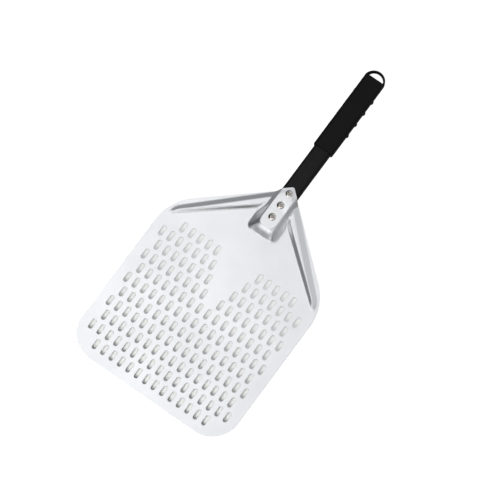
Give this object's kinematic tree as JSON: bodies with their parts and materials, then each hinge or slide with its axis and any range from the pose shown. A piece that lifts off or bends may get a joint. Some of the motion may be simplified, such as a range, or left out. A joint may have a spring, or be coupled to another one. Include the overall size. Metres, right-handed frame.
{
  "type": "pizza peel",
  "caption": "Perforated flat blade with a pressed socket and stiffening beads, blind-riveted to a tube handle with a ridged grip and hanging eye.",
  "frame": {"origin": "on the blade's top face, on the centre line, midway between the sixth and seventh rows of slots counted from the front edge", "axes": "+Y from the front edge to the hanging eye, +Z out of the face that carries the pizza, +X to the right seen from above with the handle pointing away"},
  "size_m": [0.305, 0.66, 0.0243],
  "materials": {
    "blade_aluminium": "satin anodised",
    "tube_coating": "black satin coating",
    "grip_plastic": "fine matte moulding",
    "rivet_steel": "bright, slightly warm",
    "stem_steel": "dull broken end"
  },
  "bodies": {
    "root": {"blade": "blade_aluminium", "handle_tube": "tube_coating", "grip": "grip_plastic", "rivet_front": "rivet_steel", "rivet_middle": "rivet_steel", "rivet_rear": "rivet_steel", "rivet_stem_front": "stem_steel", "rivet_stem_middle": "stem_steel", "rivet_stem_rear": "stem_steel"}
  },
  "joints": []
}
